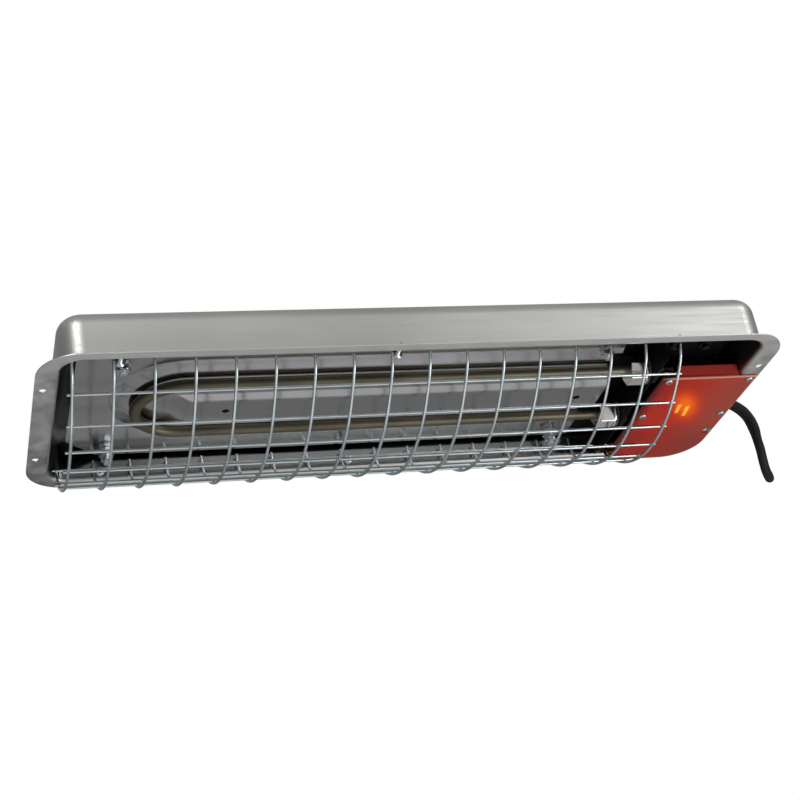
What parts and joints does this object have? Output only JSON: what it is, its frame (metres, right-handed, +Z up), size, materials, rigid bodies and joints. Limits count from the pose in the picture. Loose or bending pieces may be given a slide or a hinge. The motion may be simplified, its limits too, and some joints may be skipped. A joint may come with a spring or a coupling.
{
  "type": "heat lamp warmer",
  "caption": "Hanging infrared food warmer: drawn steel pan, mouth down, with U-shaped tubular element, reflector, curved wire guard, red terminal cover and mains cord with plug.",
  "frame": {"origin": "middle of the four hanging holes, on the flange's lower face", "axes": "+X along the pan towards the cord end, +Y across the pan, +Z up from the mouth to the pan's back"},
  "size_m": [0.5665, 0.188, 0.1135],
  "materials": {
    "brushed_stainless": "fine brushed stainless, satin",
    "polished_reflector": "bright polished sheet",
    "zinc_steel": "bright zinc plate",
    "guard_wire": "bluish bright zinc plate",
    "element_sheath": "olive-brown oxidised sheath, satin",
    "nickel_fitting": "bright nickel plate",
    "gasket_fibre": "pressed fibre",
    "ceramic": "glazed ceramic",
    "terminal_steel": "plain nickel steel",
    "black_sheet": "black, satin",
    "red_cover": "glossy translucent red",
    "neon_glass": "clear glass with an orange glow",
    "brass": "plain brass",
    "white_lead": "woven heat-proof sleeve",
    "brown_core": "smooth insulation",
    "blue_core": "smooth insulation",
    "green_core": "smooth insulation",
    "black_rubber": "matt black rubber",
    "tie_plastic": "black nylon strap",
    "plug_metal": "nickel plate"
  },
  "bodies": {
    "root": {"housing_pan": "brushed_stainless", "reflector": "polished_reflector", "mounting_studs": "zinc_steel", "stud_backing_nuts": "zinc_steel", "stud_washers": "zinc_steel", "stud_nuts": "zinc_steel", "heating_element": "element_sheath", "element_fittings": "nickel_fitting", "element_gaskets": "gasket_fibre", "element_lock_nuts": "nickel_fitting", "element_insulators": "ceramic", "element_terminal_pins": "terminal_steel", "bulkhead_tray": "black_sheet", "terminal_cover": "red_cover", "cover_screws": "zinc_steel", "cover_screw_nuts": "zinc_steel", "neon_lamp_glass": "neon_glass", "neon_electrodes": "terminal_steel", "neon_holder": "ceramic", "terminal_block": "ceramic", "terminal_screws": "brass", "element_leads": "white_lead", "neon_leads": "white_lead", "live_core": "brown_core", "neutral_core": "blue_core", "earth_core": "green_core", "earth_screw": "brass", "guard_long_wires": "guard_wire", "guard_cross_wires": "guard_wire", "guard_screws": "zinc_steel", "strain_relief": "black_rubber", "cord_lead": "black_rubber", "cord_coil": "black_rubber", "cord_tail": "black_rubber", "coil_ties": "tie_plastic", "plug_body": "black_rubber", "plug_pins": "plug_metal", "plug_earth_contacts": "brass"}
  },
  "joints": []
}
